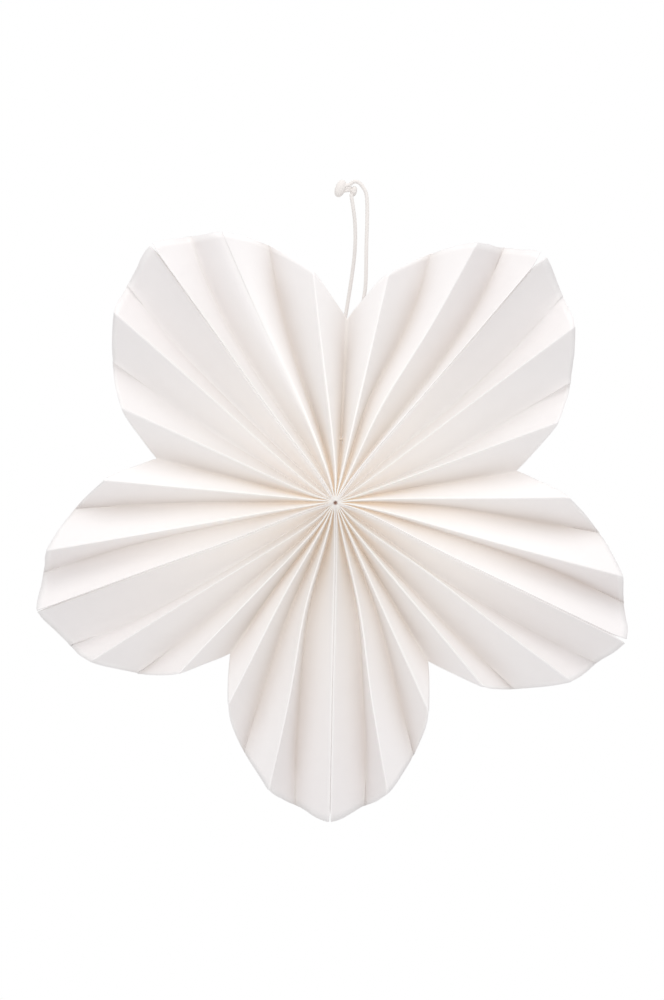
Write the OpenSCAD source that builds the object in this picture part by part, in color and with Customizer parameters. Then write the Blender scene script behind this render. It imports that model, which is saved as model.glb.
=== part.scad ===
// Pleated paper flower decoration, hung by a cord loop.
// Five equal sheets are folded into pleats and glued edge to edge into a flat round flower.
// Each sheet reaches from the tip of one petal, over a notch, to the tip of the next petal.
// The front faces -Y and +Z is up. The origin is inside the top of the cord loop, where a hook holds it.
// Points are worked out from the centre of the flower, and each piece is then moved down below the hook.

/* [Paper flower] */
// Reach of the petal tips from the centre
tip_r = 150; // [132:1:160]
// Reach of the notches between the petals
notch_r = 87; // [72:1:96]
// Width of one folded panel, which is the depth of the flower at its centre
panel_w = 25; // [23:0.5:30]
// Depth of the tabs that glue one sheet to the next, along the middle of each petal
tab_w = 20; // [15:0.5:22]
// Thickness of the paper
paper_t = 0.2; // [0.12:0.02:0.22]
// Thickness of the glue between two tabs
glue_t = 0.04; // [0.02:0.01:0.06]
// Radius of the pinhole left where all folds meet
pinhole_r = 2.6; // [2.5:0.1:3.4]
// Width by which the two sheets of a petal spring apart at its tip
tip_split = 2; // [0:0.1:3]

/* [Hanging cord] */
// Diameter of the cord
cord_d = 1.8; // [1.2:0.1:2.2]
// Clearance round the cord where it passes through the paper
cord_gap = 0.3; // [0.2:0.05:0.4]
// Distance from the centre to the hole that the cord passes through
cord_hole_r = 30; // [28:1:31]
// Distance from the rear folds to the middle of that hole
cord_hole_in = 3; // [2.5:0.1:3.4]
// Half thickness of the large lobe of the knot
knot_r = 2.5; // [2:0.1:2.8]

/* [Hidden] */

// Folds 0 to 10 of a sheet: even folds are ridges at the front, odd ones valleys at the back.
// Fold 5 is the valley that ends in the notch, and folds 0 and 10 lie on the petals' middle lines.
NOTCH_FOLD = 5;
LAST_FOLD = 10;
LAYERS = LAST_FOLD + 2;
SHEETS = 5;

// Directions in degrees, clockwise from straight up, seen from the front
PETAL_DIR = [-39.5, 36, 111.5, 177, 246];
NOTCH_DIR = [-0.5, 76, 145.5, 211, 280];
// Place of each fold between a petal's middle line and the notch, as a share of that angle
FOLD_SHARE = [0, 0.19, 0.34, 0.56, 0.765, 1];
// Cut edge of a petal: share of the way from its middle line to the notch, and of the drop in reach
PETAL_CURVE = [[0, 0], [0.05, 0.015], [0.1, 0.045], [0.19, 0.1], [0.27, 0.135], [0.34, 0.18],
    [0.45, 0.285], [0.56, 0.4], [0.66, 0.51], [0.77, 0.645], [0.88, 0.825], [1, 1]];
// Hand folding: how far each inner fold of each sheet lies off its even place
UNEVEN = [
    [0, -0.5, -0.5, -1, 0, 0, 1, 1.5, 1, 0.5, 0],
    [0, 0, 0, 0.5, -0.5, 0, 0.5, 1, 1, 0.5, 0],
    [0, -0.5, 0, 1.5, -0.5, 0, -1, -0.5, -0.5, -0.5, 0],
    [0, 0, 0.5, 0, 1, 0, -0.5, -1, -1, -1.5, 0],
    [0, 0, -1, -0.5, -0.5, 0, 0.5, 0.5, 0, -0.5, 0]
];

// Near the centre each sheet's folds crowd towards its notch and swing a little to one side
SHEET_SWING = [5, -3, 4, -6, -2];
PETAL_SWING = [7, -7, -11, -3, 6];
CROWDING = [0, 0.15, 0.3, 0.42, 0.55, 0];
SWING_SHARE = [0, 0.55, 1, 1, 1, 1];
settle_r = 26;
// At the pinhole all layers lie evenly side by side
pinch_r = 6;
HUB_DIR = -38;
// Half way out the valleys lean towards the notch, or away from it on the top sheet
VALLEY_LEAN = [-3.5, 2.5, 2.5, 3, 2];
LEAN_SHARE = [0, 1, 0, 0.5, 0, 0];

// Cut by hand: how much further out each petal's tip lies, and the cut edge half way from each
// sheet's first tip to its notch and from there to its second tip
PETAL_EXTRA = [-1, 2, 1, 0, -1];
EDGE_EXTRA = [[-0.3, -2.8], [-0.5, -1.8], [-0.5, 1], [0.6, 1.1], [-1.9, -0.7]];
// How far each petal's tip is split open, as a share of tip_split
SPLIT_SHARE = [0.8, 1.1, 0.7, 0.3, 0.15];
split_start = 0.965;

// A fold is a flat edge just wide enough to keep the paper's two layers apart
inner_gap = 0.04;
fold_half = (paper_t + inner_gap) / 2;
tab_side = (glue_t + paper_t) / 2;

// Rings of points: the first stay round, the rest spread out to the cut edge
ROUND_RINGS = 6;
EDGE_RINGS = [0.33, 0.64, 0.94, 1];
RINGS = ROUND_RINGS + len(EDGE_RINGS);
round_r = 0.75 * notch_r;
ring_power = 1.7;

paper_white = [0.95, 0.94, 0.92];
cord_white = [0.9, 0.88, 0.84];

function unit(v) = v / norm(v);
function mix(a, b, t) = a + (b - a) * t;
// Folds count from the nearer petal line
function from_petal(j) = j <= NOTCH_FOLD ? j : LAST_FOLD - j;
function petal_of(s, j) = j <= NOTCH_FOLD ? s : s + 1;
function petal_dir(k) = PETAL_DIR[k % SHEETS] + 360 * floor(k / SHEETS);
function hub_dir(k) = HUB_DIR + 360 / SHEETS * k;

function rim_dir(s, j) =
    mix(petal_dir(petal_of(s, j)), NOTCH_DIR[s], FOLD_SHARE[from_petal(j)]) + UNEVEN[s][j];
function centre_swing(s, j) =
    let (k = from_petal(j))
    mix(PETAL_SWING[petal_of(s, j) % SHEETS], SHEET_SWING[s], SWING_SHARE[k])
        + CROWDING[k] * (NOTCH_DIR[s] - rim_dir(s, j));
function pinched_dir(s, j) =
    j == 0 ? hub_dir(s)
    : j == LAST_FOLD ? hub_dir(s + 1)
    : hub_dir(s) + 360 / SHEETS * (j + 1) / LAYERS;
function lean(s, j, r) =
    let (side = j < NOTCH_FOLD ? 1 : -1)
    side * VALLEY_LEAN[s] * LEAN_SHARE[from_petal(j)] * sin(180 * min(1, r / reach(s, j)));
function fold_dir(s, j, r) =
    let (pinch = exp(-pow(r / pinch_r, 2)))
    pinch * pinched_dir(s, j)
        + (1 - pinch) * (rim_dir(s, j) + centre_swing(s, j) * exp(-r / settle_r))
        + lean(s, j, r);

// Reach of the cut edge at fold j, or between two folds
function edge_share(s, j) =
    let (
        middle = petal_dir(petal_of(s, j)),
        before = rim_dir(s, floor(j)),
        after = rim_dir(s, ceil(j))
    )
    ((before + after) / 2 - middle) / (NOTCH_DIR[s] - middle);
function reach(s, j) =
    let (
        share = edge_share(s, j),
        tip = tip_r + PETAL_EXTRA[petal_of(s, j) % SHEETS]
    )
    mix(tip, notch_r, lookup(share, PETAL_CURVE))
        + EDGE_EXTRA[s][petal_of(s, j) - s] * sin(180 * share);

// The panels keep their width, so the flower gets thinner where its folds spread apart
function spread(s, j, r) =
    let (a = max(0, j - 1), b = min(LAST_FOLD, j + 1))
    r * (fold_dir(s, b, r) - fold_dir(s, a, r)) / (b - a) * PI / 180;
function half_depth(s, j, r) = sqrt(pow(panel_w, 2) - pow(spread(s, j, r), 2)) / 2;

// Distance of a tab from its petal's middle line, which grows where the tip is split
function tab_at(k, r) =
    tab_side + tip_split * SPLIT_SHARE[k % SHEETS] / 2
        * max(0, (r / tip_r - split_start) / (1 - split_start));

// A point at radius r in direction a, moved sideways, at depth y
function polar_point(r, a, side, y) =
    [r * sin(a) + side * cos(a), y, r * cos(a) - side * sin(a)];

function fold_point(s, j, edge, r) =
    let (
        middle = j == 0 ? tab_at(s, r) + fold_half
            : j == LAST_FOLD ? -tab_at(s + 1, r) - fold_half : 0,
        y = (j % 2 == 0 ? -1 : 1) * half_depth(s, j, r)
    )
    polar_point(r, fold_dir(s, j, r), middle + edge * fold_half, y);
// The tab's free edge lies no further back than the rear folds at the centre
function tab_point(s, j, r) =
    polar_point(r, fold_dir(s, j, r), j == 0 ? tab_at(s, r) : -tab_at(s + 1, r),
        min(tab_w - half_depth(s, j, r), panel_w / 2));

// Columns of points across a sheet: a tab's free edge, the two edges of each fold, and panel middles
COLUMNS = concat(
    [["tab", 0]],
    [for (j = [0:LAST_FOLD]) each concat(
        [["fold", j, -1], ["fold", j, 1]],
        j < LAST_FOLD ? [["panel", j]] : []
    )],
    [["tab", LAST_FOLD]]
);

function column_reach(s, c) =
    c[0] == "tab" ? reach(s, c[1] == 0 ? 1 : LAST_FOLD - 1)
    : c[0] == "fold" ? reach(s, c[1])
    : reach(s, c[1] + 0.5);
function ring_r(s, c, i) =
    i <= ROUND_RINGS ? mix(pinhole_r, round_r, pow(i / ROUND_RINGS, ring_power))
    : mix(round_r, column_reach(s, c), EDGE_RINGS[i - ROUND_RINGS - 1]);
function sheet_point(s, c, i) =
    let (r = ring_r(s, c, i))
    c[0] == "tab" ? tab_point(s, c[1], r)
    : c[0] == "fold" ? fold_point(s, c[1], c[2], r)
    : (fold_point(s, c[1], 1, r) + fold_point(s, c[1] + 1, -1, r)) / 2;

// Way from the middle of the paper to its front face, mitred at the edges of the folds
function face_way(grid, i, n) =
    let (
        out = unit(grid[min(i + 1, RINGS)][n] - grid[max(i - 1, 0)][n]),
        last = len(COLUMNS) - 1,
        before = grid[i][max(n, 1)] - grid[i][max(n, 1) - 1],
        after = grid[i][min(n, last - 1) + 1] - grid[i][min(n, last - 1)],
        a = unit(cross(before, out)),
        b = unit(cross(after, out))
    )
    (a + b) / (1 + a * b);

// A closed sheet from its two faces and the strips along its four edges
module folded_sheet(s) {
    cols = len(COLUMNS);
    layer = cols * (RINGS + 1);
    grid = [for (i = [0:RINGS]) [for (c = COLUMNS) sheet_point(s, c, i)]];
    faces_points = [for (side = [1, -1]) for (i = [0:RINGS]) for (n = [0:cols - 1])
        grid[i][n] + side * face_way(grid, i, n) * paper_t / 2];
    function at(side, i, n) = side * layer + i * cols + n;
    function square_of(a, b, c, d) = [[a, b, c], [a, c, d]];
    fronts = [for (i = [0:RINGS - 1]) for (n = [0:cols - 2])
        each square_of(at(0, i, n), at(0, i + 1, n), at(0, i + 1, n + 1), at(0, i, n + 1))];
    backs = [for (i = [0:RINGS - 1]) for (n = [0:cols - 2])
        each square_of(at(1, i, n), at(1, i, n + 1), at(1, i + 1, n + 1), at(1, i + 1, n))];
    rims = [for (n = [0:cols - 2])
        each concat(
            square_of(at(0, RINGS, n), at(1, RINGS, n), at(1, RINGS, n + 1), at(0, RINGS, n + 1)),
            square_of(at(1, 0, n), at(0, 0, n), at(0, 0, n + 1), at(1, 0, n + 1))
        )];
    sides = [for (i = [0:RINGS - 1])
        each concat(
            square_of(at(1, i, 0), at(1, i + 1, 0), at(0, i + 1, 0), at(0, i, 0)),
            square_of(at(0, i, cols - 1), at(0, i + 1, cols - 1), at(1, i + 1, cols - 1), at(1, i, cols - 1))
        )];
    polyhedron(faces_points, concat(fronts, backs, rims, sides));
}

// The cord passes through the two panels beside the top notch, close to their rear fold
hole_dir = fold_dir(0, NOTCH_FOLD, cord_hole_r);
hole_at = polar_point(cord_hole_r, hole_dir, 0,
    half_depth(0, NOTCH_FOLD, cord_hole_r) - cord_hole_in);
hole_reach = 3;

module top_sheet() {
    color(paper_white) below_hook() difference() {
        folded_sheet(0);
        translate(hole_at) rotate([0, 90, 0])
            cylinder(d = cord_d + 2 * cord_gap, h = 2 * hole_reach, center = true, $fn = 48);
    }
}
module right_sheet() { color(paper_white) below_hook() folded_sheet(1); }
module lower_right_sheet() { color(paper_white) below_hook() folded_sheet(2); }
module lower_left_sheet() { color(paper_white) below_hook() folded_sheet(3); }
module left_sheet() { color(paper_white) below_hook() folded_sheet(4); }

// Route of the cord from the knot over the arch, down behind the right petal, through the hole
// and up behind the left petal to the knot. The part below the notch is measured from the hole.
ARCH = [[-3.5, 0, 150], [-2.4, 0, 151.2], [-0.8, 0, 151.6], [1, 0, 150.9], [2.6, 0, 149.2],
        [4, 0, 147], [4.8, 0, 144], [5.4, 0, 138], [5.8, 0, 130], [6.2, 0.5, 120], [6.8, 1.5, 110],
        [7, 3, 102], [6.4, 4.5, 95], [5.6, 7, 86], [5, 9, 76], [4.8, 10.4, 64], [4.6, 10.4, 52],
        [4.5, 10, 42]];
TURN = [[3.8, 0, 5.4], [3.5, 0, 2.6], [2.1, 0, 0.7], [0, 0, 0], [-2.1, 0, 0.7], [-3.5, 0, 2.6],
        [-3.8, 0, 5.4]];
RISE = [[-3.4, 10, 42], [-3.4, 10.6, 52], [-3.2, 11, 64], [-2.6, 11.5, 76], [-1.5, 11.5, 87],
        [-0.3, 9, 100], [0.6, 6, 112], [0.8, 3, 122], [0, 1, 132], [-1.4, -0.8, 139.4],
        [-2.8, -1.4, 145.6]];
ROUTE = concat(ARCH, [for (p = TURN) p + hole_at], RISE);
CORD_SIDES = 8;

// The hook lies against the inside of the arch at its top point
ARCH_TOP = 2;
module below_hook() {
    translate([0, 0, cord_d / 2] - ARCH[ARCH_TOP]) children();
}

// Smooth curve through the route's points, with one more ring half way along each stretch
function half_way(a, b, c, d) = (9 * (b + c) - a - d) / 16;
function smooth(path) =
    let (last = len(path) - 1)
    [for (i = [0:last]) each i == last ? [path[i]]
        : [path[i], half_way(path[max(i - 1, 0)], path[i], path[i + 1], path[min(i + 2, last)])]];
function way_at(path, i) = unit(path[min(i + 1, len(path) - 1)] - path[max(i - 1, 0)]);

module tube(path, d) {
    rings = len(path);
    points = [for (i = [0:rings - 1])
        let (
            way = way_at(path, i),
            across = unit(cross([0, 1, 0], way)),
            up = cross(way, across)
        )
        for (k = [0:CORD_SIDES - 1])
            path[i] + (across * cos(360 * k / CORD_SIDES) + up * sin(360 * k / CORD_SIDES)) * d / 2];
    walls = [for (i = [0:rings - 2]) for (k = [0:CORD_SIDES - 1])
        let (
            a = i * CORD_SIDES + k,
            b = i * CORD_SIDES + (k + 1) % CORD_SIDES
        )
        each [[a, a + CORD_SIDES, b + CORD_SIDES], [a, b + CORD_SIDES, b]]];
    ends = [
        [for (k = [0:CORD_SIDES - 1]) k],
        [for (k = [CORD_SIDES - 1:-1:0]) (rings - 1) * CORD_SIDES + k]
    ];
    polyhedron(points, concat(walls, ends));
}

module hanging_cord() { color(cord_white) below_hook() tube(smooth(ROUTE), cord_d); }

// The knot that joins the cord's two ends: a large lobe, a waist and a small lobe behind it
knot_at = [-8, 0, 147.8];
module lobe(from, to, r) {
    hull() {
        translate(from) sphere(r = r, $fn = 20);
        translate(to) sphere(r = r, $fn = 20);
    }
}
module cord_knot() {
    waist_r = 0.6 * knot_r;
    color(cord_white) below_hook() {
        lobe(knot_at + [-0.2, 0, -1.7], knot_at + [0.2, 0, 1.7], knot_r);
        lobe(knot_at + [1, 0, -0.1], knot_at + [4.6, 0.4, 0.1], waist_r);
        lobe(knot_at + [6.4, 1.4, -1.9], knot_at + [6.3, 1.2, 0], waist_r);
    }
}

top_sheet();
right_sheet();
lower_right_sheet();
lower_left_sheet();
left_sheet();
hanging_cord();
cord_knot();
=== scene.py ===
"""Pleated paper flower on its hanging cord, dressed for rendering.

Lengths are worked out in millimetres from the flower's centre and turned into metres in the row frame
at the end, with the same formulas as the part's source, on finer grids.
"""
import math
from collections import namedtuple

import bmesh
import bpy
import numpy as np
from mathutils import Matrix, Vector


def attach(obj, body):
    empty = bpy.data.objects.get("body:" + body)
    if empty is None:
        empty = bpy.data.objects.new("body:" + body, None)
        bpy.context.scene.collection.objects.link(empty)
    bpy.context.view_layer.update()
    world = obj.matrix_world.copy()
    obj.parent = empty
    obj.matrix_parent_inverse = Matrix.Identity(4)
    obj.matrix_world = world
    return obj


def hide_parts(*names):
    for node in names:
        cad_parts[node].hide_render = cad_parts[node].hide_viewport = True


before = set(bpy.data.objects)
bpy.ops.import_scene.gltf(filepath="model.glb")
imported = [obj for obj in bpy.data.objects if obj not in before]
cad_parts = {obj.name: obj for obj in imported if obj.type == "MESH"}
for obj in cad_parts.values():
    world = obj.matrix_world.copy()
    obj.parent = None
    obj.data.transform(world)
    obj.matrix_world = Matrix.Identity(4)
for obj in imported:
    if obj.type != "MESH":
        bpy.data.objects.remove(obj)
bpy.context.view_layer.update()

MM = 0.001
TAU = 2 * math.pi

# values shared with the source, in mm and degrees
TIP_R, NOTCH_R, PANEL_W, TAB_W = 150.0, 87.0, 25.0, 20.0
PAPER_T, GLUE_T, INNER_GAP = 0.2, 0.04, 0.04
TIP_SPLIT, SPLIT_START = 2.0, 0.965
CORD_D, CORD_GAP, HOLE_R, HOLE_IN, KNOT_R = 1.8, 0.3, 30.0, 3.0, 2.5

NOTCH_FOLD, LAST_FOLD, LAYERS, SHEETS = 5, 10, 12, 5
SHEET_NODES = ["top_sheet", "right_sheet", "lower_right_sheet", "lower_left_sheet", "left_sheet"]
PETAL_DIR = [-39.5, 36, 111.5, 177, 246]
NOTCH_DIR = [-0.5, 76, 145.5, 211, 280]
FOLD_SHARE = [0, 0.19, 0.34, 0.56, 0.765, 1]
PETAL_CURVE = [(0, 0), (0.05, 0.015), (0.1, 0.045), (0.19, 0.1), (0.27, 0.135), (0.34, 0.18),
               (0.45, 0.285), (0.56, 0.4), (0.66, 0.51), (0.77, 0.645), (0.88, 0.825), (1, 1)]
UNEVEN = [
    [0, -0.5, -0.5, -1, 0, 0, 1, 1.5, 1, 0.5, 0],
    [0, 0, 0, 0.5, -0.5, 0, 0.5, 1, 1, 0.5, 0],
    [0, -0.5, 0, 1.5, -0.5, 0, -1, -0.5, -0.5, -0.5, 0],
    [0, 0, 0.5, 0, 1, 0, -0.5, -1, -1, -1.5, 0],
    [0, 0, -1, -0.5, -0.5, 0, 0.5, 0.5, 0, -0.5, 0],
]
SHEET_SWING = [5, -3, 4, -6, -2]
PETAL_SWING = [7, -7, -11, -3, 6]
CROWDING = [0, 0.15, 0.3, 0.42, 0.55, 0]
SWING_SHARE = [0, 0.55, 1, 1, 1, 1]
SETTLE_R, PINCH_R, HUB_DIR = 26.0, 6.0, -38.0
VALLEY_LEAN = [-3.5, 2.5, 2.5, 3, 2]
LEAN_SHARE = [0, 1, 0, 0.5, 0, 0]
PETAL_EXTRA = [-1, 2, 1, 0, -1]
EDGE_EXTRA = [(-0.3, -2.8), (-0.5, -1.8), (-0.5, 1), (0.6, 1.1), (-1.9, -0.7)]
SPLIT_SHARE = [0.8, 1.1, 0.7, 0.3, 0.15]
ROUND_R = 0.75 * NOTCH_R

# what the source leaves to the soft paper
# sideways drift of the folds of each sheet, in degrees, strongest at DRIFT_R
DRIFT = [
    [-1, 0, 1.5, 0, 0, 0, 0, -4.5, -3, 0, 0],
    [0, 0, 0, 3, 0, 0, 0, -2, 0, 0, 1],
    [1, 2, -1.5, 0, 0, 0, 0, -2.5, -2.5, -3.5, 0],
    [0, 4, 3, 1.5, 1.5, 1, 0, 0, 0, 0, -1],
    [-1, 0, 0, 0, 0, 0, 0, 0, 0, 0, -1],
]
DRIFT_R, DRIFT_WIDTH = 42.0, 32.0
# how shut each rear fold is, from 0 for one that stands open to the light; it also sets the strength of the
# painted shade in each pleat
SHUT = [[0.35, 1, 1, 0.9, 0.6], [0.15, 0.2, 0.8, 1, 0.9], [0.35, 0.7, 1, 0.9, 0.8],
        [0.9, 0.9, 1, 0.45, 0.15], [0.5, 0.8, 0.8, 0.2, 0.15]]

ARCH = [(-3.5, 0, 150), (-2.4, 0, 151.2), (-0.8, 0, 151.6), (1, 0, 150.9), (2.6, 0, 149.2),
        (4, 0, 147), (4.8, 0, 144), (5.4, 0, 138), (5.8, 0, 130), (6.2, 0.5, 120), (6.8, 1.5, 110),
        (7, 3, 102), (6.4, 4.5, 95), (5.6, 7, 86), (5, 9, 76), (4.8, 10.4, 64), (4.6, 10.4, 52),
        (4.5, 10, 42)]
TURN = [(3.8, 0, 5.4), (3.5, 0, 2.6), (2.1, 0, 0.7), (0, 0, 0), (-2.1, 0, 0.7), (-3.5, 0, 2.6),
        (-3.8, 0, 5.4)]
RISE = [(-3.4, 10, 42), (-3.4, 10.6, 52), (-3.2, 11, 64), (-2.6, 11.5, 76), (-1.5, 11.5, 87),
        (-0.3, 9, 100), (0.6, 6, 112), (0.8, 3, 122), (0, 1, 132), (-1.4, -0.8, 139.4),
        (-2.8, -1.4, 145.6)]
KNOT_AT = np.array([-8, 0, 147.8])

CENTRE = np.array([0, 0, CORD_D / 2]) - np.array(ARCH[2])  # the flower's centre in the row frame


def mix(a, b, t):
    return a + (b - a) * t


def from_petal(j):
    return j if j <= NOTCH_FOLD else LAST_FOLD - j


def petal_of(s, j):
    return s if j <= NOTCH_FOLD else s + 1


def petal_dir(k):
    return PETAL_DIR[k % SHEETS] + 360 * (k // SHEETS)


def hub_dir(k):
    return HUB_DIR + 360 / SHEETS * k


def rim_dir(s, j):
    return mix(petal_dir(petal_of(s, j)), NOTCH_DIR[s], FOLD_SHARE[from_petal(j)]) + UNEVEN[s][j]


def centre_swing(s, j):
    k = from_petal(j)
    return mix(PETAL_SWING[petal_of(s, j) % SHEETS], SHEET_SWING[s], SWING_SHARE[k]) + \
        CROWDING[k] * (NOTCH_DIR[s] - rim_dir(s, j))


def pinched_dir(s, j):
    if j == 0:
        return hub_dir(s)
    if j == LAST_FOLD:
        return hub_dir(s + 1)
    return hub_dir(s) + 360 / SHEETS * (j + 1) / LAYERS


def refine(path, rounds):
    """Four-point curve through the points, as in the source, with more rounds."""
    path = np.asarray(path, dtype=float)
    for _ in range(rounds):
        before = np.vstack([path[:1], path[:-1]])[:-1]
        after = np.vstack([path[1:], path[-1:]])[1:]
        middle = (9 * (path[:-1] + path[1:]) - before - after) / 16
        out = np.empty((len(path) * 2 - 1, path.shape[1]))
        out[0::2], out[1::2] = path, middle
        path = out
    return path


SMOOTH_CURVE = refine(PETAL_CURVE, 2)


def reach(s, j):
    """Reach of the cut edge at fold j, or between two folds."""
    j = min(max(j, 0), LAST_FOLD)
    middle = petal_dir(petal_of(s, j))
    low, part = int(j // 1), j % 1
    place = rim_dir(s, low) if part == 0 else mix(rim_dir(s, low), rim_dir(s, low + 1), part)
    share = (place - middle) / (NOTCH_DIR[s] - middle)
    tip = TIP_R + PETAL_EXTRA[petal_of(s, j) % SHEETS]
    return mix(tip, NOTCH_R, np.interp(share, SMOOTH_CURVE[:, 0], SMOOTH_CURVE[:, 1])) + \
        EDGE_EXTRA[s][petal_of(s, j) - s] * math.sin(math.pi * share)


def fold_dir(s, j, r):
    """Direction of fold j at distance r from the centre, in degrees clockwise from the top."""
    pinch = np.exp(-(r / PINCH_R) ** 2)
    side = 1 if j < NOTCH_FOLD else -1
    lean = side * VALLEY_LEAN[s] * LEAN_SHARE[from_petal(j)] * \
        np.sin(np.pi * np.minimum(1, r / reach(s, j)))
    drift = DRIFT[s][j] * np.exp(-((r - DRIFT_R) / DRIFT_WIDTH) ** 2)
    return pinch * pinched_dir(s, j) + \
        (1 - pinch) * (rim_dir(s, j) + centre_swing(s, j) * np.exp(-r / SETTLE_R) + drift) + lean


def spread(s, j, r):
    a, b = max(0, j - 1), min(LAST_FOLD, j + 1)
    return r * np.radians(fold_dir(s, b, r) - fold_dir(s, a, r)) / (b - a)


def half_depth(s, j, r):
    return np.sqrt(PANEL_W ** 2 - spread(s, j, r) ** 2) / 2


def polar_point(r, a, side, y):
    """The point at distance r in direction a, moved sideways and to depth y."""
    a = np.radians(a)
    return np.stack([r * np.sin(a) + side * np.cos(a), y + 0 * r,
                     r * np.cos(a) - side * np.sin(a)], axis=-1)


# camera
# The photograph looks straight at the front, a little rolled: the flower leans clockwise in it.
CAMERA_AWAY, SENSOR = 3.0, 36
PIXEL, PHOTO_HEIGHT = 0.471 * MM, 1000
PIXELS_LEFT, PIXELS_UP = 3.4, 2.8       # where the photo's middle lies, beside the flower's centre
ROLL = math.radians(4)
right = Vector((math.cos(ROLL), 0, math.sin(ROLL)))
up = Vector((-math.sin(ROLL), 0, math.cos(ROLL)))
back = Vector((0, -1, 0))
flower_centre = Vector(CENTRE * MM)
camera = bpy.data.objects.new("camera", bpy.data.cameras.new("camera"))
bpy.context.scene.collection.objects.link(camera)
camera.data.lens = SENSOR * CAMERA_AWAY / (PHOTO_HEIGHT * PIXEL)
camera.data.clip_start, camera.data.clip_end = 0.05, 20
camera.matrix_world = Matrix.Translation(
    flower_centre - right * PIXELS_LEFT * PIXEL + up * PIXELS_UP * PIXEL + back * CAMERA_AWAY
) @ Matrix((right, up, back)).transposed().to_4x4()
bpy.context.scene.camera = camera


# helpers
def face_outwards(mesh):
    copy = bmesh.new()
    copy.from_mesh(mesh)
    bmesh.ops.recalc_face_normals(copy, faces=copy.faces)
    copy.to_mesh(mesh)
    copy.free()


def new_mesh(name, points_mm, faces, uv, values, first_sharp=None):
    """A piece from points around the flower's centre. uv and values hold one entry for each point.

    Faces from first_sharp on are shaded flat.
    """
    mesh = bpy.data.meshes.new(name)
    points = (np.asarray(points_mm) + CENTRE) * MM
    mesh.from_pydata(points.tolist(), [], [tuple(f) for f in faces])
    face_outwards(mesh)
    loops = np.empty(len(mesh.loops), dtype=np.int32)
    mesh.loops.foreach_get("vertex_index", loops)
    layer = mesh.uv_layers.new(name="flat")
    layer.data.foreach_set("uv", np.asarray(uv, dtype=np.float32)[loops].ravel())
    for key, column in values.items():
        attribute = mesh.attributes.new(key, "FLOAT", "POINT")
        attribute.data.foreach_set("value", np.asarray(column, dtype=np.float32))
    smooth = np.ones(len(mesh.polygons), dtype=bool)
    if first_sharp is not None:
        smooth[first_sharp:] = False
    mesh.polygons.foreach_set("use_smooth", smooth)
    mesh.update()
    piece = bpy.data.objects.new(name, mesh)
    bpy.context.scene.collection.objects.link(piece)
    return piece


def unit(v):
    return v / np.maximum(np.linalg.norm(v, axis=-1, keepdims=True), 1e-9)


def even_steps(path, step):
    """The same path in steps of equal length."""
    length = np.concatenate([[0], np.cumsum(np.linalg.norm(np.diff(path, axis=0), axis=1))])
    at = np.linspace(0, length[-1], int(round(length[-1] / step)) + 1)
    return np.stack([np.interp(at, length, path[:, k]) for k in range(3)], axis=1)


def cord_tube(path, diameter, sides=18, turn=4.6, lobes=3, groove=0.13, edge=0.7):
    """A twisted cord: points, faces and flat coordinates. turn is the length of one twist, in mm."""
    way = unit(np.gradient(path, axis=0))
    across = [np.array((0.0, 1.0, 0.0))]
    for w in way:
        a = across[-1] - w * np.dot(across[-1], w)
        across.append(a / np.linalg.norm(a))
    across = np.array(across[1:])
    up_way = np.cross(way, across)
    along = np.concatenate([[0], np.cumsum(np.linalg.norm(np.diff(path, axis=0), axis=1))])
    points, flat = [], []
    for i in range(len(path)):
        for k in range(sides):
            a = TAU * k / sides
            twist = a - TAU * along[i] / turn
            r = diameter / 2 * (1 - groove + groove * abs(math.cos(lobes * twist / 2)) ** edge)
            points.append(path[i] + (across[i] * math.cos(a) + up_way[i] * math.sin(a)) * r)
            flat.append((twist * lobes / TAU, along[i]))
    faces = []
    for i in range(len(path) - 1):
        for k in range(sides):
            a, b = i * sides + k, i * sides + (k + 1) % sides
            faces.append((a, a + sides, b + sides, b))
    faces.append(tuple(range(sides)))
    faces.append(tuple((len(path) - 1) * sides + k for k in range(sides - 1, -1, -1)))
    return points, faces, flat


# the cord comes first
CORD_STEP = 0.3
SHADED_NEAR_HOLE = 2.6      # the cord is dim this near to the hole, deep in the pleats

hole_at = polar_point(np.array(HOLE_R), fold_dir(0, NOTCH_FOLD, np.array(HOLE_R)), 0,
                      half_depth(0, NOTCH_FOLD, np.array(HOLE_R)) - HOLE_IN)
route = refine(ARCH + [tuple(np.array(p) + hole_at) for p in TURN] + RISE, 4)
centreline = even_steps(route, CORD_STEP)
tube_points, tube_faces, tube_flat = cord_tube(centreline, CORD_D)
from_hole = np.linalg.norm(np.array(tube_points) - hole_at, axis=1)
cord = new_mesh("cord_twisted", tube_points, tube_faces, tube_flat,
                {"into_hole": np.exp(-(from_hole / SHADED_NEAR_HOLE) ** 4)})
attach(cord, "root")
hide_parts("hanging_cord")


# the knot
SMALL_LOBE, WAIST_D = 0.62, 1.7
LOBE_ROUNDNESS, POLE_R = 0.86, 0.02
WIND_DEPTH, WIND_SHARPNESS = 0.06, 2.2


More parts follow.
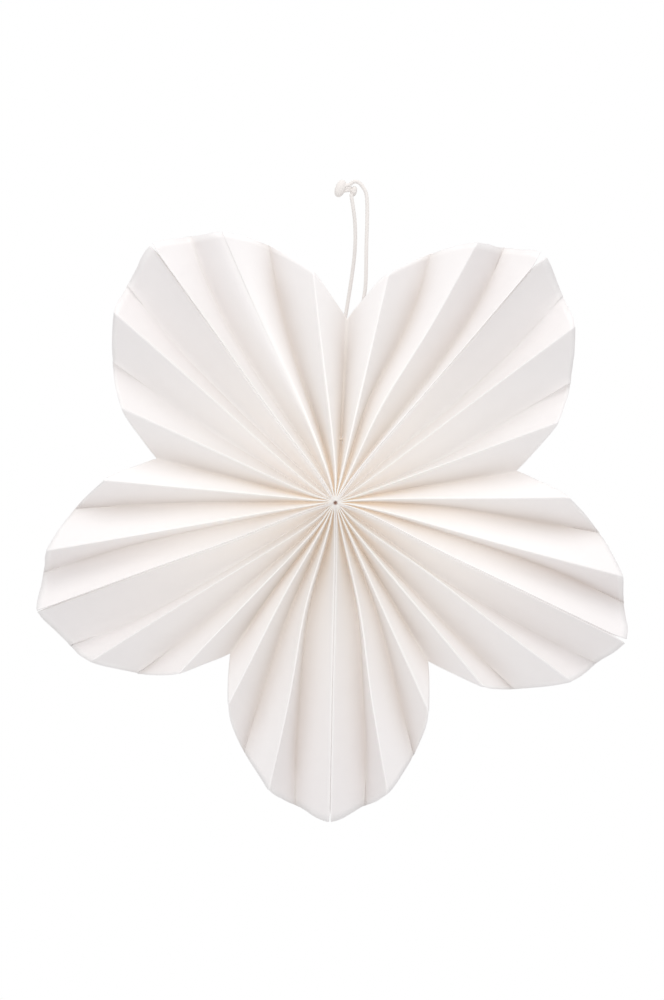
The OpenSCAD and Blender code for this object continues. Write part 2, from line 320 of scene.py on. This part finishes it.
def wound_lobe(low, high, r_across, pitch, tilt, rows=44, around=40):
    """An egg of wound cord between two points: rings round its long axis with a shallow spiral groove."""
    low, high = np.array(low, dtype=float), np.array(high, dtype=float)
    axis = unit(high - low)
    side = unit(np.cross([0, 1, 0], axis))
    front = np.cross(axis, side)
    long = np.linalg.norm(high - low) / 2 + r_across
    middle = (low + high) / 2
    points, flat = [], []
    for i in range(rows + 1):
        v = math.pi * i / rows
        h = -math.cos(v) * long
        ring = r_across * math.sin(v) ** LOBE_ROUNDNESS if 0 < i < rows else POLE_R
        for k in range(around):
            a = TAU * k / around
            wave = (h + tilt * math.cos(a) * ring) / pitch + a / TAU
            dent = abs(math.sin(math.pi * wave))
            r = ring * (1 - WIND_DEPTH * (1 - dent) ** WIND_SHARPNESS)
            points.append(middle + axis * h + (side * math.cos(a) + front * math.sin(a)) * r)
            flat.append((wave, a * r_across))
    faces = [(i * around + k, i * around + (k + 1) % around, (i + 1) * around + (k + 1) % around,
              (i + 1) * around + k) for i in range(rows) for k in range(around)]
    faces.append(tuple(range(around - 1, -1, -1)))
    faces.append(tuple(rows * around + k for k in range(around)))
    return points, faces, flat


def strand(path, diameter=CORD_D):
    return cord_tube(even_steps(refine(path, 3), CORD_STEP), diameter)


def joined(parts):
    points, faces, flat = [], [], []
    for part_points, part_faces, part_flat in parts:
        faces += [tuple(i + len(points) for i in face) for face in part_faces]
        points += list(part_points)
        flat += list(part_flat)
    return points, faces, flat


def knot_parts(at):
    """Two lobes of wound cord, and the strands and swelling of the waist between them."""
    return [
        wound_lobe(at + [-0.5, 0, -1.6], at + [0.5, 0, 1.7], KNOT_R, 2.0, 0.55),
        wound_lobe(at + [6.2, 1.4, -1.7], at + [6.5, 1.2, 0.1], SMALL_LOBE * KNOT_R, 1.7, -0.5,
                   rows=32, around=32),
        strand([at + [-0.6, -0.6, 0.9], at + [1.2, -0.9, 1.2], at + [2.8, -0.4, 1.6],
                at + [4.4, 0, 2.15]]),
        strand([at + [0.2, 0.5, -1.0], at + [1.9, 0.2, -0.9], at + [3.4, 0.1, -0.6],
                at + [4.9, 0.8, -0.4], at + [6.0, 1.2, -0.6]], WAIST_D),
        strand([at + [0.8, 0.2, 0.1], at + [2.2, -0.2, 0.1], at + [3.6, 0.6, 0.3],
                at + [5.2, 1.3, 0.2]], WAIST_D),
        wound_lobe(at + [2.4, 0.2, 0.5], at + [4.2, 0.6, 0.6], 1.25, 1.7, 0.4, rows=28, around=28),
    ]


knot = new_mesh("knot_tied", *joined(knot_parts(KNOT_AT)), {})
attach(knot, "root")
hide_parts("cord_knot")


# grid of the folded sheets
HUB_R, PANEL_HUB_R, HUB_SQUARENESS = 0.7, 0.05, 0.35      # the pinhole, at folds and between them
ROUND_RINGS, EDGE_RINGS, RING_CROWDING = 30, 22, 1.7
NEAR_FOLD = [0, 0.15, 0.4, 0.9, 1.75, 3.25, 5.5, 8.5]     # columns beside a fold, in mm from it
PANEL_T = [u / PANEL_W for u in NEAR_FOLD] + [0.5] + [1 - u / PANEL_W for u in reversed(NEAR_FOLD)]
TAB_T = [0, 0.18, 0.42, 0.68, 0.86, 0.95, 0.985, 1]
CUT_WAVES = [(0.12, 0.31, 1.7), (0.07, 1.13, 0)]          # uneven cut: height, rate, shift for each sheet
LEAST_MITRE = 0.35
FLAT_UNIT = 100.0                                         # mm of flat paper in one unit of the UV map
REAR_FACE_SHIFT = [7.31, 3.7]

# softness of the paper, with lengths in mm
SQUEEZE = 0.088             # thickness of a layer over its distance from the centre, near the pinhole
SEAM_OPEN, SEAM_OPEN_FROM = 0.1, 8
# rounding of front folds, and of the few that differ, by sheet and fold
CRISP, SOFT_FRONT = 0.3, {(0, 2): 8.0, (0, 4): 0.1}
# rounding of rear folds: at the notch, and elsewhere for one that stands open or shut
SOFT_NOTCH, SOFT_OPEN, SOFT_SHUT, SOFT_LEAST = 2.4, 6.5, 4.8, 0.12
# the rounding grows from a distance over a length, and fades again across the rim
SOFT_FROM, SOFT_OVER, RIM_MARGIN, RIM_FADE = 12, 50, 16, 32
# panels swell beside a fold, most near the centre
PUFF_RISE, PUFF_LENGTH = 0.45, 6
SWELL_MOST, SWELL_OF_PITCH, SWELL_OUTSIDE, SWELL_FADE = 0.3, 0.25, 0.12, (45, 45)
# each panel bows a little, by chance
BOW_MOST, BOW_FROM, BOW_OVER = 0.5, 20, 90
rng = np.random.default_rng(7)
PANEL_BOW = rng.uniform(-BOW_MOST, BOW_MOST, (SHEETS, LAST_FOLD))

Column = namedtuple("Column", "kind fold place reach flat")


def smooth_step(x):
    x = np.clip(x, 0, 1)
    return x * x * (3 - 2 * x)


def rise(x, start, over):
    """From 0 at start to 1 after a length."""
    return smooth_step((x - start) / over)


def bell(x, width, power=2):
    """1 at 0, and falling away over a width."""
    return np.exp(-(x / width) ** power)


def thin(r):
    """The layers are squeezed together at the pinhole."""
    return np.minimum(PAPER_T, SQUEEZE * r)


def fold_half(r):
    return thin(r) * (1 + INNER_GAP / PAPER_T) / 2


def tab_side(r):
    return thin(r) * (1 + GLUE_T / PAPER_T) / 2


def tab_at(k, r):
    opened = np.maximum(0, (r / TIP_R - SPLIT_START) / (1 - SPLIT_START))
    return tab_side(r) + TIP_SPLIT * SPLIT_SHARE[k % SHEETS] / 2 * opened


def depth_of(s, j, r):
    return (-1 if j % 2 == 0 else 1) * half_depth(s, j, r)


def fold_point(s, j, edge, r):
    """Beside a seam the front folds lie a hair apart, so that a fine line shows between them."""
    beside = fold_half(r) + SEAM_OPEN * smooth_step(r / SEAM_OPEN_FROM)
    middle = tab_at(s, r) + beside if j == 0 else -tab_at(s + 1, r) - beside if j == LAST_FOLD else 0
    return polar_point(r, fold_dir(s, j, r), middle + edge * fold_half(r), depth_of(s, j, r))


def tab_point(s, j, r):
    return polar_point(r, fold_dir(s, j, r), tab_at(s, r) if j == 0 else -tab_at(s + 1, r),
                       np.minimum(TAB_W - half_depth(s, j, r), PANEL_W / 2))


def softness(s, j, fold, r):
    """Rounding of a fold, in mm: rear folds are soft half way out, front folds are crisp."""
    inner = rise(r, SOFT_FROM, SOFT_OVER)
    if fold % 2 == 0:
        return SOFT_FRONT.get((s, fold), CRISP) * inner
    rim_r = (reach(s, j) + reach(s, j + 1)) / 2
    most = SOFT_NOTCH if fold == NOTCH_FOLD else mix(SOFT_OPEN, SOFT_SHUT, SHUT[s][fold // 2])
    return most * inner * smooth_step((rim_r + RIM_MARGIN - r) / RIM_FADE) + SOFT_LEAST


def rounding(s, j, fold, at, r):
    """How far the paper lies inside a sharp fold, at a distance from it across the panel."""
    rho = softness(s, j, fold, r)
    lift = (np.sqrt(at ** 2 + rho ** 2) - at) * (1 - (at / PANEL_W) ** 2) ** 2
    return (-1 if fold % 2 else 1) * lift * 2 * half_depth(s, j, r) / PANEL_W


def puffed(at):
    """Share of the swell at a distance from a fold."""
    return (1 - math.exp(-at / PUFF_RISE)) * math.exp(-at / PUFF_LENGTH)


def panel_point(s, j, t, r):
    """A point of the panel between folds j and j + 1, with the swell and softness of folded paper."""
    a, b = fold_point(s, j, 1, r), fold_point(s, j + 1, -1, r)
    p = mix(a, b, t)
    from_a, from_b = t * PANEL_W, PANEL_W - t * PANEL_W
    pitch = np.radians(fold_dir(s, j + 1, r) - fold_dir(s, j, r)) * r
    mid_dir = np.radians((fold_dir(s, j, r) + fold_dir(s, j + 1, r)) / 2)

    sideways = np.stack([np.cos(mid_dir), 0 * r, -np.sin(mid_dir)], axis=-1)
    swell = np.minimum(SWELL_MOST, SWELL_OF_PITCH * pitch) * mix(1, SWELL_OUTSIDE, rise(r, *SWELL_FADE))
    p = p + sideways * (swell * (puffed(from_a) - puffed(from_b)))[..., None]

    p[..., 1] += rounding(s, j, j, from_a, r) + rounding(s, j, j + 1, from_b, r)

    across = unit(b - a)
    outward = np.stack([np.sin(mid_dir), 0 * r, np.cos(mid_dir)], axis=-1)
    bow = PANEL_BOW[s][j] * math.sin(math.pi * t) * rise(r, BOW_FROM, BOW_OVER)
    return p + np.cross(across, outward) * bow[..., None]


def sheet_columns(s):
    """Columns across a sheet, from tab to tab. place is a share of a panel or tab, or a fold's side."""
    columns = []
    for t in TAB_T[:-1]:
        columns.append(Column("tab", 0, t, mix(reach(s, 1), reach(s, 0), t), (t - 1) * TAB_W))
    columns.append(Column("fold", 0, -1, reach(s, 0), 0))
    for j in range(LAST_FOLD):
        flat = j * PANEL_W
        columns.append(Column("fold", j, 1, reach(s, j), flat))
        for t in PANEL_T[1:-1]:
            columns.append(Column("panel", j, t, reach(s, j + t), flat + t * PANEL_W))
        columns.append(Column("fold", j + 1, -1, reach(s, j + 1), flat + PANEL_W))
    columns.append(Column("fold", LAST_FOLD, 1, reach(s, LAST_FOLD), LAST_FOLD * PANEL_W))
    for t in reversed(TAB_T[:-1]):
        columns.append(Column("tab", LAST_FOLD, t, mix(reach(s, LAST_FOLD - 1), reach(s, LAST_FOLD), t),
                              LAST_FOLD * PANEL_W + (1 - t) * TAB_W))
    return columns


def on_tab(column):
    """Whether a column lies on a tab, or on the tab's side of its fold."""
    return column.kind == "tab" or column.kind == "fold" and (
        column.fold == 0 and column.place < 0 or column.fold == LAST_FOLD and column.place > 0)


def beside_seam(column):
    """Whether a column lies on a fold at a seam, or on the half of a panel next to it."""
    return column.kind == "fold" and column.fold in (0, LAST_FOLD) \
        or column.fold == 0 and column.place < 0.5 \
        or column.fold == LAST_FOLD - 1 and column.place > 0.5


def column_points(s, column, r):
    j, t = column.fold, column.place
    if column.kind == "panel":
        return panel_point(s, j, t, r)
    if not on_tab(column):
        return panel_point(s, j, 0, r) if t > 0 else panel_point(s, j - 1, 1, r)
    place = 1 if column.kind == "fold" else t
    p = mix(tab_point(s, j, r), fold_point(s, j, -1 if j == 0 else 1, r), place)
    p[..., 1] += rounding(s, min(j, LAST_FOLD - 1), j, (1 - place) * TAB_W, r)
    return p


def ring_radii(s, column):
    """Distances from the centre of the points down a column, from the pinhole to the cut edge."""
    cut = column.reach + sum(height * math.sin(rate * column.flat + shift * s)
                             for height, rate, shift in CUT_WAVES)
    inner = np.linspace(0, 1, ROUND_RINGS + 1) ** RING_CROWDING
    r = np.concatenate([mix(HUB_R, ROUND_R, inner),
                        mix(ROUND_R, cut, np.linspace(0, 1, EDGE_RINGS + 1)[1:])])
    if column.kind == "panel":
        r[0] = mix(HUB_R, PANEL_HUB_R, math.sin(math.pi * column.place) ** HUB_SQUARENESS)
    elif column.kind == "tab":
        r[0] = mix(PANEL_HUB_R, HUB_R, column.place ** 2)
    return r


def two_sides(grid, half):
    """The front and rear points of a grid given a thickness, mitred between neighbouring columns."""
    outward = unit(np.concatenate([grid[1:2] - grid[:1], grid[2:] - grid[:-2], grid[-1:] - grid[-2:-1]]))
    step = np.diff(grid, axis=1)
    before = np.concatenate([step[:, :1], step], axis=1)
    after = np.concatenate([step, step[:, -1:]], axis=1)
    a, b = unit(np.cross(before, outward)), unit(np.cross(after, outward))
    mitre = (a + b) / np.maximum(1 + (a * b).sum(axis=-1, keepdims=True), LEAST_MITRE)
    offset = mitre * half[..., None]
    return np.concatenate([(grid + offset).reshape(-1, 3), (grid - offset).reshape(-1, 3)])


def shell_faces(rows, cols):
    """The faces of both sides, and then those of the cut edges."""
    layer = rows * cols
    index = np.arange(layer).reshape(rows, cols)
    corners = [index[:-1, :-1], index[1:, :-1], index[1:, 1:], index[:-1, 1:]]
    sides = np.stack(corners, axis=-1).reshape(-1, 4).tolist()
    sides += (np.stack(corners[::-1], axis=-1).reshape(-1, 4) + layer).tolist()
    edges = []
    for i in range(cols - 1):
        o, p = index[-1, i], index[-1, i + 1]
        edges.append((o, o + layer, p + layer, p))
        o, p = index[0, i], index[0, i + 1]
        edges.append((o + layer, o, p, p + layer))
    for i in range(rows - 1):
        o, p = index[i, 0], index[i + 1, 0]
        edges.append((o + layer, p + layer, p, o))
        o, p = index[i, -1], index[i + 1, -1]
        edges.append((o, p, p + layer, o + layer))
    return sides, edges


# where the paper's tints lie, in mm: pressed folds, cut edges, and painted shade and highlight
CREASE_W, CUT_W = 0.8, 0.4
VALLEY_W, VALLEY_W_RIM, VALLEY_NARROWS, VALLEY_POWER = 8.5, 5.0, (80, 60), 1.4
VALLEY_FADES_IN, VALLEY_RIM_FADE, VALLEY_AT_RIM = (6, 32), 24, 0.5
HOLLOW_R, HOLLOW_START, HOLLOW_SLOPE = 30, 1.25, 1.5
LOW_SHADE_R, PINHOLE_SHADE_R = 65, 0.95
BOTTOM_W, BOTTOM_OPEN = 0.8, 0.3
RIDGE_HIGHLIGHT_W, RIDGE_HIGHLIGHT_R = 3.2, 55
SEAM_START, SEAM_W = 1.2, 3.5


def rear_fold(s, column):
    """Paper distance from a column to the rear fold of its panel, and how shut that fold is."""
    if on_tab(column):
        return 2 * PANEL_W, 0.0
    j, t = column.fold, column.place
    if column.kind == "fold":
        j, t = (j, 0) if t > 0 else (j - 1, 1)
    rear = j if j % 2 else j + 1
    return (t if rear == j else 1 - t) * PANEL_W, SHUT[s][rear // 2]


def paper_from_fold(column):
    if column.kind == "fold":
        return 0.0
    return min(column.place, 1 - column.place) * PANEL_W if column.kind == "panel" \
        else (1 - column.place) * TAB_W


def column_dir(s, column):
    return mix(rim_dir(s, column.fold), rim_dir(s, column.fold + 1), column.place) \
        if column.kind == "panel" else rim_dir(s, column.fold)


def tint_shares(s, columns, radius):
    """Values for the paper's material at each point of a sheet, on its front and again on its rear."""
    from_fold = np.array([paper_from_fold(c) for c in columns])
    from_rear, shut = np.array([rear_fold(s, c) for c in columns]).T
    from_front = np.abs(PANEL_W - from_rear) + np.array([PANEL_W if beside_seam(c) else 0 for c in columns])
    into_seam = np.array([(1 - c.place) * TAB_W if c.kind == "tab" else 0 for c in columns])
    downward = 0.5 - 0.5 * np.cos(np.radians([column_dir(s, c) for c in columns]))
    from_cut = np.array([c.reach for c in columns]) - radius
    # painted shade: dim bands along the shut rear folds fade in from the centre, and out to the rim
    shade_band = bell(from_rear, mix(VALLEY_W, VALLEY_W_RIM, rise(radius, *VALLEY_NARROWS)), VALLEY_POWER)
    shade_band = shade_band * rise(radius, *VALLEY_FADES_IN) * mix(VALLEY_AT_RIM, 1, rise(from_cut, 0, VALLEY_RIM_FADE))
    # painted shade: near the centre the shut pleats are coloured darker and warmer, as the light deep in
    # them is
    deep_shade = smooth_step(HOLLOW_START - HOLLOW_SLOPE * from_rear / PANEL_W)
    shares = {
        "radius": radius / TIP_R,
        "shut": shut,
        "crease": np.exp(-from_fold / CREASE_W),
        "cut_edge": np.exp(-from_cut / CUT_W),
        "valley": shut * shade_band,
        "hollow_shade": shut * deep_shade * bell(radius, HOLLOW_R),
        # painted shade: pleats that point down are made darker, as they get less of the light from above
        "low": downward * bell(radius, LOW_SHADE_R),
        # painted shade: a fine dark line along the bottom of each rear fold
        "fold_bottom_shade": mix(BOTTOM_OPEN, 1, shut) * bell(from_rear, BOTTOM_W),
        # painted highlight on the front folds near the centre
        "ridge_highlight": bell(from_front, RIDGE_HIGHLIGHT_W) * bell(radius, RIDGE_HIGHLIGHT_R),
        # painted shade in the groove between the two front folds at each seam
        "seam_shade": smooth_step(into_seam / SEAM_START) * bell(into_seam, SEAM_W),
        # painted shade: the pinhole at the centre is dark
        "pinhole_shade": bell(radius, PINHOLE_SHADE_R, 4),
    }
    return {key: np.tile(np.broadcast_to(share, radius.shape).reshape(-1), 2)
            for key, share in shares.items()}


def folded_sheet(s):
    name = SHEET_NODES[s]
    columns = sheet_columns(s)
    radius = np.stack([ring_radii(s, c) for c in columns], axis=1)
    grid = np.stack([column_points(s, c, radius[:, n]) for n, c in enumerate(columns)], axis=1)
    sides, edges = shell_faces(*radius.shape)
    flat = np.broadcast_to([c.flat for c in columns], radius.shape)
    uv = np.stack([flat, radius], axis=-1).reshape(-1, 2) / FLAT_UNIT
    sheet = new_mesh(name + "_paper", two_sides(grid, thin(radius) / 2), sides + edges,
                     np.concatenate([uv, uv + REAR_FACE_SHIFT]), tint_shares(s, columns, radius),
                     first_sharp=len(sides))
    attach(sheet, "root")
    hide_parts(name)
    return sheet


sheets = [folded_sheet(s) for s in range(SHEETS)]


def punch(sheet, reach_through=6):
    """The hole for the cord in the two panels beside the top notch."""
    bpy.ops.mesh.primitive_cylinder_add(
        vertices=48, radius=(CORD_D / 2 + CORD_GAP) * MM, depth=reach_through * MM,
        location=(hole_at + CENTRE) * MM, rotation=(0, math.pi / 2, 0))
    cutter = bpy.context.object
    cut = sheet.modifiers.new("punched", "BOOLEAN")
    cut.operation, cut.solver, cut.object = "DIFFERENCE", "EXACT", cutter
    done = bpy.data.meshes.new_from_object(sheet.evaluated_get(bpy.context.evaluated_depsgraph_get()))
    sheet.modifiers.clear()
    sheet.data = done
    bpy.data.objects.remove(cutter)


punch(sheets[0])


# materials
class Nodes:
    """Short names for making the nodes of a material or world."""

    def __init__(self, owner, output="OutputMaterial"):
        owner.use_nodes = True
        self.owner = owner
        self.tree = owner.node_tree
        self.tree.nodes.clear()
        self.output = self.add(output)

    def add(self, kind, **inputs):
        node = self.tree.nodes.new("ShaderNode" + kind)
        for key, value in inputs.items():
            self.set(node, key, value)
        return node

    def set(self, node, key, value):
        """Sets or links an input, by its name or by its number after a line, as in _0."""
        socket = node.inputs[int(key[1:])] if key[0] == "_" else node.inputs[key.replace("_", " ")]
        if isinstance(value, bpy.types.NodeSocket):
            self.tree.links.new(value, socket)
        else:
            socket.default_value = value

    def math(self, operation, a, b=0.5, clamp=False):
        node = self.add("Math", _0=a, _1=b)
        node.operation, node.use_clamp = operation, clamp
        return node.outputs[0]

    def above(self, value, start, gain):
        """From 0 at start, growing by the gain, to 1."""
        return self.math("MULTIPLY", self.math("SUBTRACT", value, start, True), gain, True)

    def ranged(self, value, low, high, start=0.0, end=1.0):
        """The value, led from start..end to low..high."""
        return self.add("MapRange", Value=value, From_Min=start, From_Max=end, To_Min=low, To_Max=high)

    def colour(self, factor, a, b, blend="MIX"):
        node = self.add("Mix")
        node.data_type, node.blend_type = "RGBA", blend
        for key, value in (("_0", factor), ("_6", a), ("_7", b)):
            self.set(node, key, value)
        return node.outputs[2]

    def times(self, colour, factor, tint):
        """The colour, multiplied by a tint where the factor is 1."""
        return self.colour(factor, colour, tint, "MULTIPLY")

    def blend(self, factor, a, b):
        """Two shaders, mixed by a factor."""
        return self.add("MixShader", Fac=factor, _1=a, _2=b).outputs[0]

    def let_through(self, other, surface, share, rays):
        """The shader other, but for the given rays a surface that lets a share of the light through."""
        clear = self.add("BsdfTransparent", Color=GLOW)
        return self.blend(rays, other, self.blend(share, surface, clear.outputs[0]))

    def bump(self, height, strength, depth, **inputs):
        """The direction of a surface with bumps of a depth in mm."""
        return self.add("Bump", Height=height, Strength=strength, Distance=depth * MM, **inputs).outputs[0]

    def attribute(self, name):
        node = self.add("Attribute")
        node.attribute_name = name
        return node.outputs["Fac"]

    def flat_map(self):
        node = self.add("UVMap")
        node.uv_map = "flat"
        return node.outputs["UV"]

    def noise(self, vector, scale, detail=3.0, roughness=0.55):
        return self.add("TexNoise", Vector=vector, Scale=scale, Detail=detail,
                        Roughness=roughness).outputs["Fac"]

    def seen_rays(self):
        """1 for rays that show the surroundings as they are, and 0 for those that light the object."""
        path = self.add("LightPath")
        return self.math("MAXIMUM", path.outputs["Is Camera Ray"], self.math(
            "MAXIMUM", path.outputs["Is Glossy Ray"], path.outputs["Is Transmission Ray"]))


# share of light let through by each of a sheet's two faces, at the rim and at the centre
SHADOW_THROUGH, BOUNCE_THROUGH = (0.62, 0.985), (0.52, 0.98)
GLOW = (1.0, 0.995, 0.989, 1)
# share of light from behind that shows near the centre, on open and on shut pleats
BEHIND_OPEN, BEHIND_SHUT = 0.36, 0.0
# the centre's look fades out between these shares of the petals' reach
CENTRE_FADE = (0.3, 1.15)
# the paper's own colour, and painted light near the centre: lighter and warmer, for the light the layers
# pass on there
WHITE, CENTRE_PAINTED_LIGHT = (0.876, 0.847, 0.848, 1), (0.98, 0.957, 0.953, 1)
# painted shade, and a painted highlight on the front folds, each multiplied in where its share is 1
SHADE_AND_HIGHLIGHT_TINTS = {
    "low": (0.91, 0.9, 0.89, 1),
    "valley": (0.745, 0.695, 0.655, 1),
    "hollow_shade": (0.9, 0.735, 0.55, 1),
    "fold_bottom_shade": (0.985, 0.98, 0.975, 1),
    "ridge_highlight": (1.008, 1.004, 0.982, 1),
    "pinhole_shade": (0.3, 0.15, 0.1, 1),
    "seam_shade": (0.76, 0.72, 0.68, 1),
}
CLOUD_TINT, SPECK_TINT = (0.973, 0.968, 0.967, 1), (0.973, 0.977, 0.922, 1)
# pressed folds are a little lighter; the cut edges are lifted by painted light, against the shade they get
# from below
CREASE_TINT, CUT_EDGE_PAINTED_LIGHT = (1.035, 1.047, 1.039, 1), (1.09, 1.1, 1.1, 1)
# noise scales on the flat paper, where one unit is 100 mm
CLOUD_SCALE, COCKLE_SCALE, FIBRE_SCALE, TOOTH_SCALE = 14, 9, 420, 900
FIBRE_STRETCH, FIBRE_SPAN = (1.0, 0.45, 1.0), (0.3, 0.7)
# where the noise starts to tint, and how fast
CLOUDY, SPECKED, CREASE_SHARE = (0.38, 0.9), (0.62, 1.4), 0.2
# bumps: strength, and depth in mm
COCKLES, WEAVE, TOOTH, CORD_FIBRES = (0.35, 0.25), (0.5, 0.03), (0.35, 0.015), (0.5, 0.04)
ROUGHNESS = (0.74, 0.92)


def paper_material():
    n = Nodes(bpy.data.materials.new("paper"))
    flat = n.flat_map()
    cloud = n.noise(flat, CLOUD_SCALE, 4)
    fibre_map = n.add("Mapping", Vector=flat, Scale=FIBRE_STRETCH)
    fibre = n.noise(fibre_map.outputs[0], FIBRE_SCALE, 5, 0.62)

    # near the centre the layers pass light on among themselves: there the paper lets more light through,
    # and painted light makes its colour lighter and warmer
    centre = n.ranged(n.attribute("radius"), 1, 0, *CENTRE_FADE)
    centre.interpolation_type = "SMOOTHSTEP"
    centre = centre.outputs[0]
    tone = n.colour(centre, WHITE, CENTRE_PAINTED_LIGHT)
    # painted shade and highlight: deep between the panels the colour is made dimmer and warmer, as the
    # light there is, front folds are made lighter where they catch it, and the pinhole and the seams'
    # grooves are painted dark
    for name, tint in SHADE_AND_HIGHLIGHT_TINTS.items():
        tone = n.times(tone, n.attribute(name), tint)

    # clouds, fibres and pressed folds, and painted light on the cut edges
    base = n.times(tone, n.above(cloud, *CLOUDY), CLOUD_TINT)
    base = n.times(base, n.above(fibre, *SPECKED), SPECK_TINT)
    base = n.times(base, n.math("MULTIPLY", n.attribute("crease"), CREASE_SHARE), CREASE_TINT)
    base = n.times(base, n.attribute("cut_edge"), CUT_EDGE_PAINTED_LIGHT)

    cockles = n.bump(n.noise(flat, COCKLE_SCALE, 2, 0.4), *COCKLES)
    weave = n.bump(fibre, *WEAVE, Normal=cockles)
    tooth = n.bump(n.noise(flat, TOOTH_SCALE, 2, 0.5), *TOOTH, Normal=weave)
    rough = n.ranged(fibre, *ROUGHNESS, *FIBRE_SPAN)
    grained = n.add("BsdfPrincipled", Base_Color=base, Roughness=rough.outputs[0], Normal=tooth,
                    Specular_IOR_Level=0.28, Sheen_Weight=0.04)
    # rays that aren't seen directly meet the same paper without its grain, which is quicker
    plain = n.add("BsdfDiffuse", Color=tone)
    opaque = n.add("BsdfDiffuse", Color=WHITE)

    # thin paper: light from behind shows on it, and lamps' rays and bounced light pass through it
    behind = n.add("BsdfTranslucent", Color=tone)
    behind_share = n.math("MULTIPLY", n.ranged(n.attribute("shut"), BEHIND_OPEN, BEHIND_SHUT).outputs[0],
                          centre)
    seen, bounced = [n.blend(behind_share, front.outputs[0], behind.outputs[0])
                     for front in (grained, plain)]
    shadow_share, bounce_share = [n.ranged(centre, far, near).outputs[0]
                                  for far, near in (SHADOW_THROUGH, BOUNCE_THROUGH)]
    path = n.add("LightPath")
    surface = n.let_through(seen, bounced, bounce_share, path.outputs["Is Diffuse Ray"])
    surface = n.let_through(surface, opaque.outputs[0], shadow_share, path.outputs["Is Shadow Ray"])
    n.set(n.output, "Surface", surface)
    return n.owner


FIBRE_DARK, FIBRE_LIGHT = (0.79, 0.75, 0.728, 1), (0.87, 0.835, 0.815, 1)
PATCH, PATCH_SHARE = (0.84, 0.795, 0.768, 1), 0.35
GROOVE_SHADE, GROOVE_SHARE, GROOVE_SHARPNESS = (0.73, 0.69, 0.665, 1), 0.25, 6.0
# painted shade on the cord where it lies deep in the pleats by the hole
HOLE_SHADE_TINT = (0.84, 0.76, 0.67, 1)
STRAND_STRETCH, STRAND_SCALE, PATCH_SCALE = (9.0, 0.9), 2.2, 0.25


def cord_material():
    n = Nodes(bpy.data.materials.new("cotton_cord"))
    flat = n.flat_map()
    split = n.add("SeparateXYZ", Vector=flat)
    # fibres lie along each strand
    along = n.add("CombineXYZ", X=n.math("MULTIPLY", split.outputs[0], STRAND_STRETCH[0]),
                  Y=n.math("MULTIPLY", split.outputs[1], STRAND_STRETCH[1]))
    fibres = n.noise(along.outputs[0], STRAND_SCALE, 4, 0.6)
    patches = n.noise(flat, PATCH_SCALE, 2)
    from_groove = n.math("ABSOLUTE", n.math("SUBTRACT", n.math("FRACT", split.outputs[0]), 0.5))
    groove = n.math("POWER", n.math("SUBTRACT", 1.0, n.math("MULTIPLY", from_groove, 2.0)),
                    GROOVE_SHARPNESS)
    base = n.colour(fibres, FIBRE_DARK, FIBRE_LIGHT)
    base = n.colour(n.math("MULTIPLY", patches, PATCH_SHARE), base, PATCH)
    base = n.colour(n.math("MULTIPLY", groove, GROOVE_SHARE), base, GROOVE_SHADE)
    # painted shade near the hole
    base = n.times(base, n.attribute("into_hole"), HOLE_SHADE_TINT)
    surface = n.add("BsdfPrincipled", Base_Color=base, Roughness=0.9, Specular_IOR_Level=0.2,
                    Sheen_Weight=0.1, Normal=n.bump(fibres, *CORD_FIBRES))
    n.set(n.output, "Surface", surface.outputs[0])
    return n.owner


paper = paper_material()
cotton = cord_material()
for sheet in sheets:
    sheet.data.materials.clear()
    sheet.data.materials.append(paper)
for piece in (cord, knot):
    piece.data.materials.append(cotton)


# floor, world and lights
FLOOR_HALF, FLOOR_Z, FLOOR_GREY = 1.4, -0.62, (0.86, 0.86, 0.86, 1)
# the floor shows the object's shadow under it, and fades to white further out
FADE_START, FADE_END, FADE_LEAST = 0.2, 1.0, 0.6
FILL = 0.822                # light of the world on the object, beside the white that shows
PLAIN_WHITE = (1, 1, 1, 1)


def floor_material():
    n = Nodes(bpy.data.materials.new("studio_floor"))
    plain = n.add("BsdfDiffuse", Color=FLOOR_GREY)
    glow = n.add("Emission", Color=PLAIN_WHITE, Strength=1.0)
    away = n.add("VectorMath", _0=n.add("TexCoord").outputs["Object"])
    away.operation = "LENGTH"
    fade = n.ranged(away.outputs["Value"], FADE_LEAST, 1.0, FADE_START, FADE_END)
    share = n.math("MULTIPLY", n.seen_rays(), fade.outputs[0])
    n.set(n.output, "Surface", n.blend(share, plain.outputs[0], glow.outputs[0]))
    return n.owner


floor_mesh = bpy.data.meshes.new("floor")
floor_mesh.from_pydata([(x * FLOOR_HALF, y * FLOOR_HALF, 0) for x, y in
                        ((-1, -1), (1, -1), (1, 1), (-1, 1))], [], [(0, 1, 2, 3)])
floor = bpy.data.objects.new("floor", floor_mesh)
floor.location.z = FLOOR_Z
bpy.context.scene.collection.objects.link(floor)
floor_mesh.materials.append(floor_material())


def studio_world():
    n = Nodes(bpy.data.worlds.new("studio"), "OutputWorld")
    strength = n.math("ADD", n.math("MULTIPLY", n.seen_rays(), 1 - FILL), FILL)
    background = n.add("Background", Color=PLAIN_WHITE, Strength=strength)
    n.set(n.output, "Surface", background.outputs[0])
    return n.owner


bpy.context.scene.world = studio_world()


def area_light(name, place, size, power, colour=(1, 1, 1)):
    """A square soft light, aimed at the flower's centre."""
    data = bpy.data.lights.new(name, "AREA")
    data.shape, data.size, data.energy, data.color = "SQUARE", size, power, colour
    lamp = bpy.data.objects.new(name, data)
    lamp.location = place
    lamp.rotation_mode = "QUATERNION"
    lamp.rotation_quaternion = (flower_centre - Vector(place)).to_track_quat("-Z", "Y")
    bpy.context.scene.collection.objects.link(lamp)


area_light("soft_top", (-0.04, -0.75, 1.05), size=0.9, power=7.0, colour=(1, 0.99, 0.98))
area_light("fill_front", (-0.3, -1.9, -0.3), size=1.4, power=2.0)

bpy.context.scene.view_settings.view_transform = "Standard"
# light goes far down between the white panels, and through many of their layers
bpy.context.scene.cycles.diffuse_bounces = 8
bpy.context.scene.cycles.transparent_max_bounces = 40
